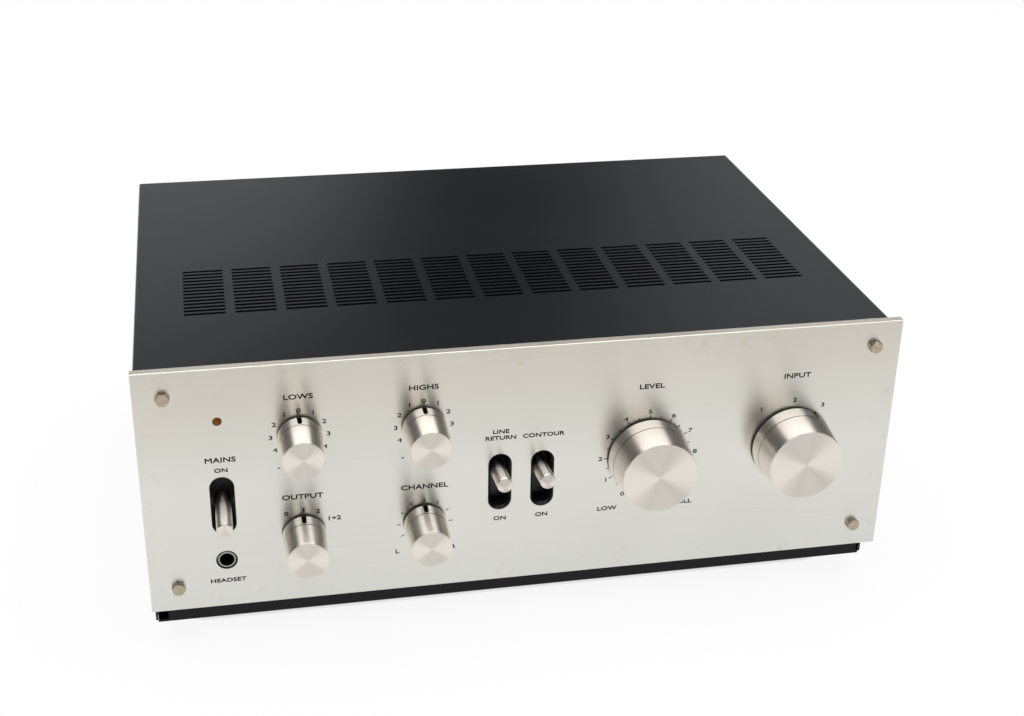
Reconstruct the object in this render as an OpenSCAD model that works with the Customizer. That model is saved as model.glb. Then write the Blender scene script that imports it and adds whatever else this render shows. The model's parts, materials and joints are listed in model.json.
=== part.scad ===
// Stereo amplifier: sizes in mm, +Z up, the controls face -Y.
// The origin is on the floor, in the middle of the whole outline.

/* [Case] */
// Width of the front panel
panel_w = 350; // [342:1:380]
// Height of the front panel
panel_h = 120.8; // [116:0.1:132]
// Thickness of the front panel
panel_t = 4; // [3.8:0.1:5]
// Depth of the cover behind the front panel
case_d = 240; // [236:1:280]
// How far the case sits to the right of the panel's middle
case_shift = -1.8; // [-2:0.1:2]
// Thickness of the folded steel sheets
sheet_t = 1.2; // [1:0.1:1.5]
// Thickness of the cover sheet
cover_t = 1; // [0.8:0.1:1.4]
// Height of the feet
foot_h = 11; // [9:0.5:15]
// How far the chassis hangs below the panel
chassis_drop = 8.2; // [5.5:0.1:9]

/* [Layout] */
// Lamp, power lever and headphone jack, from the left edge
power_in = 35.1; // [32:0.1:38]
// From the power lever to the first tone column
tone_step = 35.2; // [33:0.2:38]
// Between the two tone columns
tone_gap = 55.2; // [48:0.2:58]
// From the second tone column to the monitor lever
tape_step = 34.9; // [30:0.1:38]
// Between the monitor and contour levers
lever_gap = 19.9; // [18:0.1:24]
// From the contour lever to the first large knob
middle_gap = 50.2; // [44:0.2:56]
// Input knob, from the right edge
input_in = 49.5; // [44:0.1:54]
// Between the two large knobs
large_gap = 70; // [60:0.5:76]
// Upper knobs, from the top edge
upper_in = 35.6; // [30:0.2:38]
// Lower knobs, from the bottom edge
lower_in = 34.8; // [30:0.2:38]
// Levers, from the bottom edge
lever_in = 53; // [52.4:0.2:58]
// Lamp, from the top edge
lamp_in = 25.4; // [20:0.2:28]
// Headphone jack, from the bottom edge
phones_in = 24.6; // [22:0.1:25.8]

/* [Knobs] */
// Widest diameter of a small knob
small_knob_d = 20; // [18.5:0.5:22]
// Length of a small knob from the panel to its face
small_knob_l = 23; // [19:0.5:26]
// Widest diameter of a large knob
large_knob_d = 38.6; // [35:0.2:41]
// Length of a large knob from the panel to its face
large_knob_l = 21.5; // [19:0.5:26]
// Diameter of the control shafts
shaft_d = 6; // [5.5:0.1:6.3]
// Radial clearance of turning shafts and pins
run_gap = 0.05; // [0.03:0.01:0.08]

/* [Levers] */
// Diameter of a lever handle
lever_d = 7.3; // [6.4:0.1:7.6]
// Width of a lever slot
slot_w = 11; // [10.4:0.1:12]
// Height of a lever slot
slot_h = 29.5; // [28:0.5:30.5]
// Swing of a lever to each side of its middle, in degrees
lever_swing = 7.2; // [5.6:0.2:8]

/* [Vents] */
// Number of vent groups across the cover
vent_groups = 13; // [7:1:13]
// Number of slots in a vent group
vent_rows = 14; // [8:1:16]
// Distance between vent slots
vent_spacing = 3.9; // [3.6:0.1:4.2]
// Width of a vent slot
vent_w = 2.1; // [1.6:0.1:2.6]

/* [Hidden] */
$fn = 64;
// Clearance of seated pieces, and the overshoot of a cut
seat = 0.05;
past = 1;

// Heights and widths of the case
edge = 0.25;
cover_step = 0.6;
cover_inset = 3;
cover_lift = 1;
bend_r = 0.2;
fold_r = cover_t + bend_r;
floor_z = foot_h;
deck_z = floor_z + sheet_t;
panel_z = foot_h + chassis_drop;
top_z = panel_z + panel_h;
cover_z = top_z - cover_step;
roof_z = cover_z - cover_t;
flange_z = roof_z - seat;
cover_half = panel_w / 2 - cover_inset;
inner_half = cover_half - cover_t;
tray_gap = 0.1;
tray_half = inner_half - tray_gap;
tray_wall_h = 20;
tray_lip_h = 15;
sub_in = 3;
sub_half = inner_half - sub_in;
sub_foot = 14;
sub_fold = 9;
fold_in = 4;

// Planes along the depth, counted from the face of the front panel
sub_y = panel_t + sheet_t;
tray_gap_y = 2;
tray_front = sub_y + tray_gap_y;
rear_inset = 1;
rear_y = panel_t + case_d;
rear_face = rear_y - rear_inset;
rear_in = rear_face - sheet_t;
gland_l = 12;
nose = max(small_knob_l, large_knob_l);
depth = nose + rear_face + gland_l;
front_y = nose - depth / 2;

// Places of the controls: the columns spread with the panel's width
row_w = power_in + tone_step + tone_gap + tape_step + lever_gap + middle_gap + large_gap + input_in;
spread = panel_w / row_w;
power_x = spread * power_in - panel_w / 2;
tone_x = power_x + spread * tone_step;
treble_x = tone_x + spread * tone_gap;
tape_x = treble_x + spread * tape_step;
contour_x = tape_x + spread * lever_gap;
input_x = panel_w / 2 - spread * input_in;
volume_x = input_x - spread * large_gap;
upper_z = top_z - upper_in;
lower_z = panel_z + lower_in;
middle_z = panel_z + panel_h / 2;
lever_z = panel_z + lever_in;
lamp_z = top_z - lamp_in;
phones_z = panel_z + phones_in;
tone_spots = [[tone_x, upper_z], [treble_x, upper_z], [treble_x, lower_z]];
rotary_spots = [[tone_x, lower_z], [input_x, middle_z]];
volume_spot = [volume_x, middle_z];
control_spots = concat(tone_spots, rotary_spots, [volume_spot]);
lever_spots = [[power_x, lever_z], [tape_x, lever_z], [contour_x, lever_z]];

// Hex bolts of the panel, each with the turn of its head
bolt_in_x = 12.8;
bolt_in_z = 12.2;
bolt_x = panel_w / 2 - bolt_in_x;
bolt_af = 5.5;
bolt_h = 2.5;
bolt_r = 1.5;
bolt_end = 4;
bolt_l = sub_y + bolt_end;
bolt_spots = [
  [-bolt_x, top_z - bolt_in_z, 0],
  [bolt_x, top_z - bolt_in_z, 24],
  [-bolt_x, panel_z + bolt_in_z, 14],
  [bolt_x, panel_z + bolt_in_z, 38]
];

// Knobs
knob_gap = 0.5;
flange_t = 1.1;
flange_in = 0.2;
cap_z = knob_gap + flange_t;
cap_edge = 0.3;
cap_face_t = 2.2;
groove_up = 6.4;
groove_w = 0.5;
groove_deep = 0.4;
notch_w = 2.1;
notch_stop = 0.85;
small_taper = 1.5;
large_taper = 3.6;
small_face_d = small_knob_d - small_taper;
large_face_d = large_knob_d - large_taper;
small_wall = 1.6;
large_wall = 2.4;
core_room = 3.2;
shaft_r = shaft_d / 2;
flat_r = shaft_r / 2;
flat_gap = 1;
flat_z = knob_gap + flat_gap;
shaft_in = 8;
shaft_end = 0.4;
volume_rest = -150;
input_rest = 30;

// Bushings and nuts of the controls
bush_wall = 1;
bush_r = shaft_r + bush_wall;
bush_out = 0.5;
nut_t = 2.4;
nut_wall = 1.5;
nut_af = 2 * (bush_r + nut_wall);
nut_room = 1.1;
nut_room_r = nut_af / 2 / cos(30) + nut_room;
bush_y = panel_t - nut_t - bush_out;
pot_r = 8.4;
pot_l = 14;
pot_back = sub_y + pot_l;
volume_pot_r = 12;
volume_pot_l = 22;
volume_neck = 1.5;
volume_gap = 2;
rotary_r = 13;
rotary_hub_r = 7;
index_t = 4;
wafer_t = 2;
wafer_out = 2;
wafer_first = 11;
wafer_gap = 7;
tie_r = 1.6;
tie_in = 3;
rotary_l = wafer_first + wafer_gap + 2 * wafer_t;

// Small case screws, with a rounded head and a cross
screw_r = 1.5;
screw_l = 5;
screw_head_r = 2.8;
screw_head_t = 2;
dome_r = 3.6;
dome_rise = 3;
cross_r = 1.6;
cross_w = 0.7;
cross_deep = 0.9;
screw_hole_r = screw_r + seat;

// Levers
pivot_y = 30;
lever_r = lever_d / 2;
lever_out = 12.8;
lever_tip = pivot_y + lever_out;
lever_edge = 0.4;
lever_wall = 1.1;
stem_r = lever_r - lever_wall;
pin_r = 1.5;
hub_r = 4;
neck_l = 15.2;
lever_root = hub_r + neck_l;
stem_l = 13;
stem_end = lever_root + stem_l;
tail_r = 2;
tail_l = 9;
liner_in = 0.3;
liner_wall = 1.2;
liner_rim = 0.3;
liner_bevel = 1.6;
liner_lip_t = 1;
liner_lip = 1.3;
throat_w = slot_w - 2 * liner_wall;
throat_h = slot_h - 2 * liner_wall;
shield_t = 1;
shield_side = 1.3;
shield_end = 3.35;
shield_w = throat_w + 2 * shield_side;
shield_h = throat_h + 2 * shield_end;
frame_y = sub_y + liner_lip_t;
frame_t = 1.2;
frame_room = 0.6;
frame_half = slot_w / 2 + liner_lip + frame_room;
hub_gap = 1.2;
hub_half = frame_half - frame_t - hub_gap;
frame_ear = 5.4;
frame_h = slot_h + 2 * frame_ear;
hub_room = 2;
frame_back = pivot_y + hub_r + hub_room;
frame_screw_gap = 0.4;
frame_screw_z = slot_h / 2 + liner_lip + screw_r + frame_screw_gap;
frame_block_l = 12;
frame_block_half = 10;
tail_room = 3;
frame_well = tail_l - hub_r + tail_room;
frame_wall = 2;
lever_screw_l = frame_t + liner_lip_t + sheet_t;

// Lamp and headphone jack
lamp_r = 2;
lamp_lip = 1;
lamp_lip_r = lamp_r + lamp_lip;
lamp_lip_t = 1.2;
lamp_out = 0.6;
lamp_dome_r = 3.2;
holder_wall = 1;
holder_r = lamp_lip_r + holder_wall;
holder_l = 15;
holder_lip = 1.5;
holder_lip_t = 2;
plug_r = 3.25;
barrel_wall = 0.5;
barrel_r = plug_r + barrel_wall;
plug_deep = 30;
phones_wall = 2.45;
phones_half = barrel_r + phones_wall;
phones_end = 3;
phones_back = plug_deep + phones_end;
phones_nut_in = 0.2;
phones_nut_lip = 0.5;
phones_nut_edge = 0.25;
phones_nut_wall = 0.4;
phones_nut_r = barrel_r + seat + phones_nut_wall;
phones_hole_gap = 0.65;
phones_hole_r = phones_nut_r + phones_hole_gap;
barrel_in = phones_nut_in + phones_nut_lip + seat;

// Vents of the cover and of the chassis
vent_l = 19;
vent_step = 23.35;
vent_front = 59.8;
floor_vent_l = 40;
floor_vent_w = 2.4;
floor_vent_spacing = 4.4;
floor_vent_rows = 7;
floor_vent_step = 52;

// Feet
foot_r = 11;
foot_taper = 1.5;
foot_base_r = foot_r - foot_taper;
foot_in = 32;
foot_x = cover_half - foot_in;
foot_front = 38;
foot_rear_in = 26;
foot_rear = case_d - foot_rear_in;
foot_spots = [[-foot_x, foot_front], [foot_x, foot_front], [-foot_x, foot_rear], [foot_x, foot_rear]];
foot_screw_r = 2;
foot_screw_head_r = 3.8;
foot_screw_head_t = 2.6;
foot_web = 3.5;
foot_cup = foot_h - foot_web;
foot_cup_gap = 0.8;
foot_cup_r = foot_screw_head_r + foot_cup_gap;
foot_screw_end = 2.5;
foot_screw_l = foot_web + sheet_t + foot_screw_end;

// Transformer
core_w = 76;
core_d = 40;
core_h = 64;
core_leg = 13;
core_mid = 24;
core_in = 14;
core_x = core_w / 2 + core_in - inner_half;
core_rear_in = 66;
core_y = case_d - core_rear_in;
core_foot_t = 2;
core_foot_out = 10;
core_z = deck_z + core_foot_t;
winding_gap = 0.3;
winding_out = 13;
core_bolt_r = 2;
core_bolt_in = 8;
core_bolt_af = 7;
core_bolt_h = 2.8;
core_bolt_end = 1;
core_bolt_spots = [
  for (x = [-1, 1])
    for (y = [-1, 1])
      [core_x + x * (core_w / 2 - core_bolt_in), core_y + y * (core_d + core_foot_out) / 2]
];

// Power stage
sink_w = 160;
sink_h = 80;
sink_t = 4;
sink_fins = 14;
fin_t = 1.6;
fin_l = 34;
sink_x = 40;
sink_y = 104;
floor_vent_y = sink_y - fin_l / 2;
transistor_r = 10.5;
transistor_h = 7;
transistor_ear = 4;
transistor_plate_t = 1.6;
transistor_gap = 38;
transistor_rise = 50;
transistor_z = deck_z + transistor_rise;
board_t = 1.6;
spacer_h = 8;
spacer_r = 3;
board_z = deck_z + spacer_h;
board_top = board_z + board_t;
board_w = 180;
board_d = 70;
board_x = sink_x;
board_gap = 12;
board_y = sink_y + sink_t + board_gap;
board_in = 6;
board_spots = [
  for (x = [-1, 1])
    for (y = [board_in, board_d - board_in])
      [board_x + x * (board_w / 2 - board_in), board_y + y]
];
capacitor_r = 17.5;
capacitor_h = 55;
capacitor_bead = 1;
capacitor_room = 5;
capacitor_gap = 2 * capacitor_r + capacitor_room;
capacitor_in = 8;
capacitor_y = board_y + board_d - capacitor_r - capacitor_in;
tone_board_in = 18;

// Rear connections
jack_plate_t = 1.6;
jack_step = 18;
jack_pairs = 5;
jack_rise = 20;
jack_up = 62;
jack_low = panel_z + jack_up;
jack_r = 4.15;
jack_wall = 0.8;
jack_in_r = jack_r - jack_wall;
jack_l = 9;
jack_stem_r = 2.6;
jack_room = 0.8;
jack_tail = 4;
jack_base_out = 1.05;
jack_base_r = jack_r + jack_base_out;
jack_base_t = 0.8;
jack_pin_r = 1.6;
jack_mouth = 1.2;
jack_y = rear_face + jack_plate_t;
plate_in = 13;
plate_end = 6;
plate_edge = 10;
plate_w = jack_pairs * jack_step + 2 * plate_end;
plate_h = jack_rise + 2 * plate_edge;
plate_x = inner_half - plate_in - plate_w / 2;
plate_z = jack_low + jack_rise / 2;
plate_screw_in = 4;
plate_screw_x = plate_w / 2 - plate_screw_in;
plate_screw_spots = [[plate_x - plate_screw_x, plate_z], [plate_x + plate_screw_x, plate_z]];
jack_spots = [
  for (i = [0 : jack_pairs - 1])
    for (k = [0, 1])
      [plate_x + (i - (jack_pairs - 1) / 2) * jack_step, jack_low + k * jack_rise]
];
post_r = 2;
post_l = 11;
post_nut_r = 5;
post_nut_t = 5;
post_nut_y = 4;
post_washer_t = 1;
post_tail = 5;
post_gap = 2;
post_up = 6;
post_x = plate_x - plate_w / 2 - post_nut_r - post_gap;
post_z = jack_low + post_up;
block_step = 12;
block_end = 2;
block_w = 4 * block_step + 2 * block_end;
block_h = 18;
block_d = 9;
block_wall = 3;
block_rib = 1;
block_gap = 10;
block_up = 26;
block_z = panel_z + block_up;
block_x = -12;
block_xs = [block_x, block_x + block_w + block_gap];
block_places = [-1.5, -0.5, 0.5, 1.5];
block_screw_r = 1.5;
block_head_r = 3.4;
block_head_t = 3.5;
block_slot_w = 1;
block_slot_deep = 1.2;
block_tail = 4;
fuse_side = 78;
fuse_up = 30;
fuse_x = fuse_side - inner_half;
fuse_z = panel_z + fuse_up;
fuse_r = 6;
fuse_cap_wall = 1.5;
fuse_cap_r = fuse_r + fuse_cap_wall;
fuse_rim = 1.5;
fuse_rim_r = fuse_cap_r + fuse_rim;
fuse_rim_t = 2;
fuse_out = 10;
fuse_in = 24;
fuse_slot_w = 1.6;
fuse_slot_deep = 1.5;
gland_side = 34;
gland_up = 26;
gland_x = gland_side - inner_half;
gland_z = panel_z + gland_up;
gland_bore = 3.6;
gland_wall = 2.4;
gland_r = gland_bore + gland_wall;
gland_rim = 2;
gland_rim_r = gland_r + gland_rim;
gland_rim_t = 3;
gland_in = 6;

// Places of the case screws and the turn of their crosses
left_turn = 20;
right_turn = 55;
rear_turn = 35;
front_turn = 10;
floor_turn = 70;
board_turn = 5;
plate_turn = 15;
side_screw_up = 11;
side_screw_z = deck_z + side_screw_up;
side_screw_front = 40;
side_screw_rear = 30;
side_ys = [side_screw_front, case_d - side_screw_rear];
rear_screw_up = 8;
rear_screw_z = deck_z + rear_screw_up;
rear_screw_in = 24;
rear_screw_mid = 48;
rear_xs = [rear_screw_in - inner_half, -rear_screw_mid, rear_screw_mid, inner_half - rear_screw_in];
sub_screw_in = 43;
sub_xs = [sub_screw_in - inner_half, 0, inner_half - sub_screw_in];
sub_screw_y = sub_y + sub_foot / 2;

silver = [0.84, 0.83, 0.8];
bright = [0.8, 0.8, 0.79];
black = [0.06, 0.06, 0.065];
charcoal = [0.16, 0.165, 0.17];
zinc = [0.66, 0.66, 0.62];
amber = [0.75, 0.4, 0.1];
phenolic = [0.5, 0.36, 0.18];
ivory = [0.85, 0.84, 0.8];

// Helpers: the panel's face is at depth zero
module at_front() translate([0, front_y, 0]) children();
module at_case() translate([case_shift, front_y, 0]) children();
module at_spot(spot) translate([spot[0], 0, spot[1]]) children();
module at_floor(spot) translate([spot[0], spot[1], 0]) children();
module rod(r, from, to) translate([0, from, 0]) rotate([-90, 0, 0]) cylinder(r = r, h = to - from);
module cone(r1, r2, from, to) translate([0, from, 0]) rotate([-90, 0, 0])
  cylinder(r1 = r1, r2 = r2, h = to - from);
module bar(r, from, to) translate([from, 0, 0]) rotate([0, 90, 0]) cylinder(r = r, h = to - from);
module post(r, from, to) translate([0, 0, from]) cylinder(r = r, h = to - from);
module hex(af, from, to) translate([0, to, 0]) rotate([90, 0, 0])
  cylinder(d = af / cos(30), h = to - from, $fn = 6);
module block(x1, x2, y1, y2, z1, z2) translate([x1, y1, z1]) cube([x2 - x1, y2 - y1, z2 - z1]);
module pill(w, h, from, to) {
  translate([0, to, 0]) rotate([90, 0, 0]) linear_extrude(to - from) {
    square([w, h - w], center = true);
    translate([0, (h - w) / 2]) circle(d = w);
    translate([0, -(h - w) / 2]) circle(d = w);
  }
}
module pill_bevel(w, h, wide, narrow, from, to) {
  for (side = [-1, 1]) translate([0, 0, side * (h - w) / 2]) cone(wide / 2, narrow / 2, from, to);
  translate([0, 0, -(h - w) / 2]) linear_extrude(h - w)
    polygon([[-wide / 2, from], [wide / 2, from], [narrow / 2, to], [-narrow / 2, to]]);
}
module screw(turn, l = screw_l) difference() {
  union() {
    post(screw_r, -past / 2, l);
    translate([0, 0, -screw_head_t]) intersection() {
      cylinder(r = screw_head_r, h = screw_head_t);
      translate([0, 0, dome_rise]) sphere(r = dome_r);
    }
  }
  rotate([0, 0, turn]) for (way = [0, 90]) rotate([0, 0, way])
    block(-cross_r, cross_r, -cross_w / 2, cross_w / 2, -screw_head_t - past, -screw_head_t + cross_deep);
}

// Case
module front_panel() color(silver) at_front() difference() {
  intersection() {
    translate([-panel_w / 2, 0, panel_z]) rotate([90, 0, 90]) linear_extrude(panel_w)
      polygon([[0, edge], [edge, 0], [panel_t, 0], [panel_t, panel_h], [edge, panel_h], [0, panel_h - edge]]);
    translate([-panel_w / 2, 0, panel_z]) linear_extrude(panel_h)
      polygon([[0, edge], [edge, 0], [panel_w - edge, 0], [panel_w, edge], [panel_w, panel_t], [0, panel_t]]);
  }
  for (spot = control_spots) at_spot(spot) rod(nut_room_r, -past, panel_t + past);
  for (spot = lever_spots) at_spot(spot) pill(slot_w, slot_h, -past, panel_t + past);
  for (spot = bolt_spots) at_spot(spot) rod(bolt_r + seat, -past, panel_t + past);
  at_spot([power_x, lamp_z]) {
    rod(lamp_r + seat, -past, panel_t + past);
    rod(lamp_lip_r + seat, panel_t - lamp_lip_t, panel_t + past);
  }
  at_spot([power_x, phones_z]) rod(phones_hole_r, -past, panel_t + past);
}

module sub_panel() color(black) at_front() difference() {
  union() {
    block(-sub_half, sub_half, panel_t, sub_y, deck_z, flange_z);
    block(fold_in - sub_half, sub_half - fold_in, panel_t, sub_y + sub_foot, deck_z, deck_z + sheet_t);
    block(fold_in - sub_half, sub_half - fold_in, panel_t, sub_y + sub_fold, flange_z - sheet_t, flange_z);
  }
  for (spot = control_spots) at_spot(spot) rod(bush_r + seat, 0, sub_y + past);
  for (spot = lever_spots) at_spot(spot) {
    pill(slot_w, slot_h, 0, sub_y + past);
    for (side = [-1, 1]) translate([0, 0, side * frame_screw_z]) rod(screw_hole_r, 0, sub_y + past);
  }
  for (spot = bolt_spots) at_spot(spot) rod(bolt_r + seat, 0, sub_y + past);
  at_spot([power_x, lamp_z]) rod(holder_r + seat, 0, sub_y + past);
  at_spot([power_x, phones_z]) rod(barrel_r + seat, 0, sub_y + past);
  for (x = sub_xs) translate([x, sub_screw_y, 0]) post(screw_hole_r, deck_z - past, deck_z + sheet_t + past);
}

module floor_hole(spot, r) at_floor(spot) post(r, floor_z - past, deck_z + past);

module chassis() color(black) at_case() difference() {
  union() {
    block(-tray_half, tray_half, panel_t, rear_in, floor_z, deck_z);
    block(-tray_half, sheet_t - tray_half, tray_front, rear_in, floor_z, floor_z + tray_wall_h);
    block(tray_half - sheet_t, tray_half, tray_front, rear_in, floor_z, floor_z + tray_wall_h);
    block(-tray_half, tray_half, rear_in - sheet_t, rear_in, floor_z, deck_z + tray_lip_h);
  }
  for (spot = foot_spots) floor_hole(spot, foot_screw_r + seat);
  for (x = sub_xs) floor_hole([x - case_shift, sub_screw_y], screw_hole_r);
  for (spot = board_spots) floor_hole(spot, screw_hole_r);
  for (spot = core_bolt_spots) floor_hole(spot, core_bolt_r + seat);
  for (y = side_ys) translate([0, y, side_screw_z]) bar(screw_hole_r, -cover_half, cover_half);
  for (x = rear_xs) at_spot([x, rear_screw_z]) rod(screw_hole_r, rear_in - sheet_t - past, rear_in + past);
  for (i = [0 : floor_vent_rows - 1]) for (k = [-1, 0, 1])
    translate([sink_x + k * floor_vent_step, floor_vent_y, 0])
      translate([0, (i - (floor_vent_rows - 1) / 2) * floor_vent_spacing, 0])
        block(-floor_vent_l / 2, floor_vent_l / 2, -floor_vent_w / 2, floor_vent_w / 2,
          floor_z - past, deck_z + past);
}

module cover_outline(half, low, top, r) {
  translate([-half, low]) square([2 * half, top - r - low]);
  translate([r - half, low]) square([2 * half - 2 * r, top - low]);
  for (side = [-1, 1]) translate([side * (half - r), top - r]) circle(r = r);
}

module rear_hole(x, z, r) at_spot([x, z]) rod(r, rear_in - past, rear_face + past);

module rear_panel() color(black) at_case() difference() {
  union() {
    translate([0, rear_face, 0]) rotate([90, 0, 0]) linear_extrude(sheet_t)
      cover_outline(inner_half - seat, floor_z, flange_z, bend_r);
    block(-sub_half, sub_half, rear_in - sub_fold, rear_face, flange_z - sheet_t, flange_z);
  }
  for (x = rear_xs) rear_hole(x, rear_screw_z, screw_hole_r);
  for (spot = jack_spots) rear_hole(spot[0], spot[1], jack_stem_r + jack_room);
  for (spot = plate_screw_spots) rear_hole(spot[0], spot[1], screw_hole_r);
  rear_hole(post_x, post_z, post_r + seat);
  for (x = block_xs) for (i = block_places) rear_hole(x + i * block_step, block_z, block_screw_r + seat);
  rear_hole(fuse_x, fuse_z, fuse_r + seat);
  rear_hole(gland_x, gland_z, gland_r + seat);
}

module top_cover() color(charcoal) at_case() difference() {
  translate([0, rear_y, 0]) rotate([90, 0, 0]) linear_extrude(case_d) difference() {
    cover_outline(cover_half, floor_z + cover_lift, cover_z, fold_r);
    cover_outline(inner_half, floor_z + cover_lift - past, roof_z, bend_r);
  }
  translate([0, 0, roof_z - past]) linear_extrude(cover_t + 2 * past) for (g = [0 : vent_groups - 1])
    for (i = [0 : vent_rows - 1])
      translate([(g - (vent_groups - 1) / 2) * vent_step, vent_front + i * vent_spacing])
        square([vent_l, vent_w], center = true);
  for (y = side_ys) translate([0, y, side_screw_z]) bar(screw_hole_r, -cover_half - past, cover_half + past);
}

module feet() color(black) at_case() for (spot = foot_spots) at_floor(spot) difference() {
  cylinder(r1 = foot_base_r, r2 = foot_r, h = foot_h);
  post(foot_cup_r, -past, foot_cup);
  post(foot_screw_r + seat, 0, foot_h + past);
}

module foot_screws() color(zinc) at_case() for (spot = foot_spots) translate([spot[0], spot[1], foot_cup]) {
  post(foot_screw_head_r, -foot_screw_head_t, 0);
  post(foot_screw_r, -foot_screw_head_t / 2, foot_screw_l);
}

module panel_bolts() color(zinc) at_front() for (spot = bolt_spots) at_spot(spot) {
  rotate([0, spot[2], 0]) intersection() {
    hex(bolt_af, -bolt_h, 0);
    cone(bolt_af / 2, bolt_af / 2 + bolt_h, -bolt_h, 0);
  }
  rod(bolt_r, -bolt_h / 2, bolt_l);
}

module case_screws() color(zinc) {
  at_case() {
    for (y = side_ys) translate([0, y, side_screw_z]) {
      translate([-cover_half, 0, 0]) rotate([0, 90, 0]) screw(left_turn);
      translate([cover_half, 0, 0]) rotate([0, -90, 0]) screw(right_turn);
    }
    for (x = rear_xs) translate([x, rear_face, rear_screw_z]) rotate([90, 0, 0]) screw(rear_turn);
    for (spot = board_spots) at_floor(spot) {
      translate([0, 0, floor_z]) screw(floor_turn);
      translate([0, 0, board_top]) rotate([180, 0, 0]) screw(board_turn);
    }
    for (spot = plate_screw_spots) translate([spot[0], jack_y, spot[1]]) rotate([90, 0, 0]) screw(plate_turn);
  }
  at_front() {
    for (x = sub_xs) translate([x, sub_screw_y, floor_z]) screw(front_turn);
    for (spot = lever_spots) for (side = [-1, 1])
      translate([spot[0], frame_y + frame_t, spot[1] + side * frame_screw_z])
        rotate([90, 0, 0]) screw(0, lever_screw_l);
  }
}

// Front controls that stay still
module slot_liners() color(black) at_front() for (spot = lever_spots) at_spot(spot) difference() {
  union() {
    pill(slot_w - 2 * seat, slot_h - 2 * seat, liner_in, sub_y + liner_lip_t);
    pill(slot_w + 2 * liner_lip, slot_h + 2 * liner_lip, sub_y, sub_y + liner_lip_t);
  }
  pill(throat_w, throat_h, -past, sub_y + liner_lip_t + past);
  pill_bevel(slot_w, slot_h, slot_w - 2 * liner_rim, throat_w, liner_in, liner_in + liner_bevel);
}

module lamp_lens() color(amber) at_front() at_spot([power_x, lamp_z]) {
  intersection() {
    rod(lamp_r, -lamp_out, panel_t);
    union() {
      translate([0, lamp_dome_r - lamp_out, 0]) sphere(r = lamp_dome_r);
      rod(lamp_r, lamp_dome_r - lamp_out, panel_t);
    }
  }
  rod(lamp_lip_r, panel_t - lamp_lip_t, panel_t);
}

module lamp_holder() color(black) at_front() at_spot([power_x, lamp_z]) {
  rod(holder_r, panel_t, panel_t + holder_l);
  rod(holder_r + holder_lip, sub_y, sub_y + holder_lip_t);
}

module phones_jack() color(black) at_front() at_spot([power_x, phones_z]) difference() {
  union() {
    rod(barrel_r, barrel_in, sub_y + past);
    block(-phones_half, phones_half, sub_y, phones_back, -phones_half, phones_half);
  }
  rod(plug_r, barrel_in - past, plug_deep);
}

module phones_nut() color(bright) at_front() at_spot([power_x, phones_z]) difference() {
  union() {
    rod(phones_nut_r, phones_nut_in + phones_nut_edge, panel_t);
    cone(phones_nut_r - phones_nut_edge, phones_nut_r, phones_nut_in, phones_nut_in + phones_nut_edge);
  }
  rod(plug_r + seat, phones_nut_in - past, panel_t);
  rod(barrel_r + seat, phones_nut_in + phones_nut_lip, panel_t + past);
}

module shaft_well() rod(shaft_r + run_gap, 0, sub_y + shaft_in + shaft_end);
module bushing() rod(bush_r, bush_y, sub_y + past);

module tone_pots() color(zinc) at_front() for (spot = tone_spots) at_spot(spot) difference() {
  union() {
    bushing();
    rod(pot_r, sub_y, pot_back);
  }
  shaft_well();
}

module volume_pot() color(zinc) at_front() at_spot(volume_spot) difference() {
  union() {
    bushing();
    rod(volume_pot_r, sub_y, sub_y + (volume_pot_l - volume_gap) / 2);
    rod(volume_pot_r - volume_neck, sub_y, sub_y + volume_pot_l);
    rod(volume_pot_r, sub_y + (volume_pot_l + volume_gap) / 2, sub_y + volume_pot_l);
  }
  shaft_well();
}

module rotary_switches() color(zinc) at_front() for (spot = rotary_spots) at_spot(spot) difference() {
  union() {
    bushing();
    rod(rotary_r, sub_y, sub_y + index_t);
    rod(rotary_hub_r, sub_y, sub_y + rotary_l - wafer_t / 2);
    for (i = [0, 1]) translate([0, sub_y + wafer_first + i * wafer_gap, 0])
      rod(rotary_r + wafer_out, 0, wafer_t);
    for (side = [-1, 1]) translate([side * (rotary_r - tie_in), 0, 0]) rod(tie_r, sub_y, sub_y + rotary_l);
  }
  shaft_well();
}

module control_nuts() color(zinc) at_front() for (spot = control_spots) at_spot(spot) difference() {
  hex(nut_af, panel_t - nut_t, panel_t);
  rod(bush_r + seat, 0, panel_t + past);
}

module lever_frames() color(black) at_front() for (spot = lever_spots) at_spot(spot) difference() {
  union() {
    block(-frame_half, frame_half, frame_y, frame_y + frame_t, -frame_h / 2, frame_h / 2);
    for (side = [-1, 1]) translate([side * (frame_half - frame_t / 2), 0, 0])
      block(-frame_t / 2, frame_t / 2, frame_y, frame_back + past, -frame_block_half, frame_block_half);
    block(-frame_half, frame_half, frame_back, frame_back + frame_block_l,
      -frame_block_half, frame_block_half);
  }
  pill(throat_w, throat_h, frame_y - past, frame_y + frame_t + past);
  block(-hub_half + frame_t, hub_half - frame_t, frame_back - past, frame_back + frame_well,
    frame_wall - frame_block_half, frame_block_half - frame_wall);
  translate([0, pivot_y, 0]) bar(pin_r + run_gap, -frame_half - past, frame_half + past);
  for (side = [-1, 1]) translate([0, 0, side * frame_screw_z])
    rod(screw_hole_r, frame_y - past, frame_y + frame_t + past);
}

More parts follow.
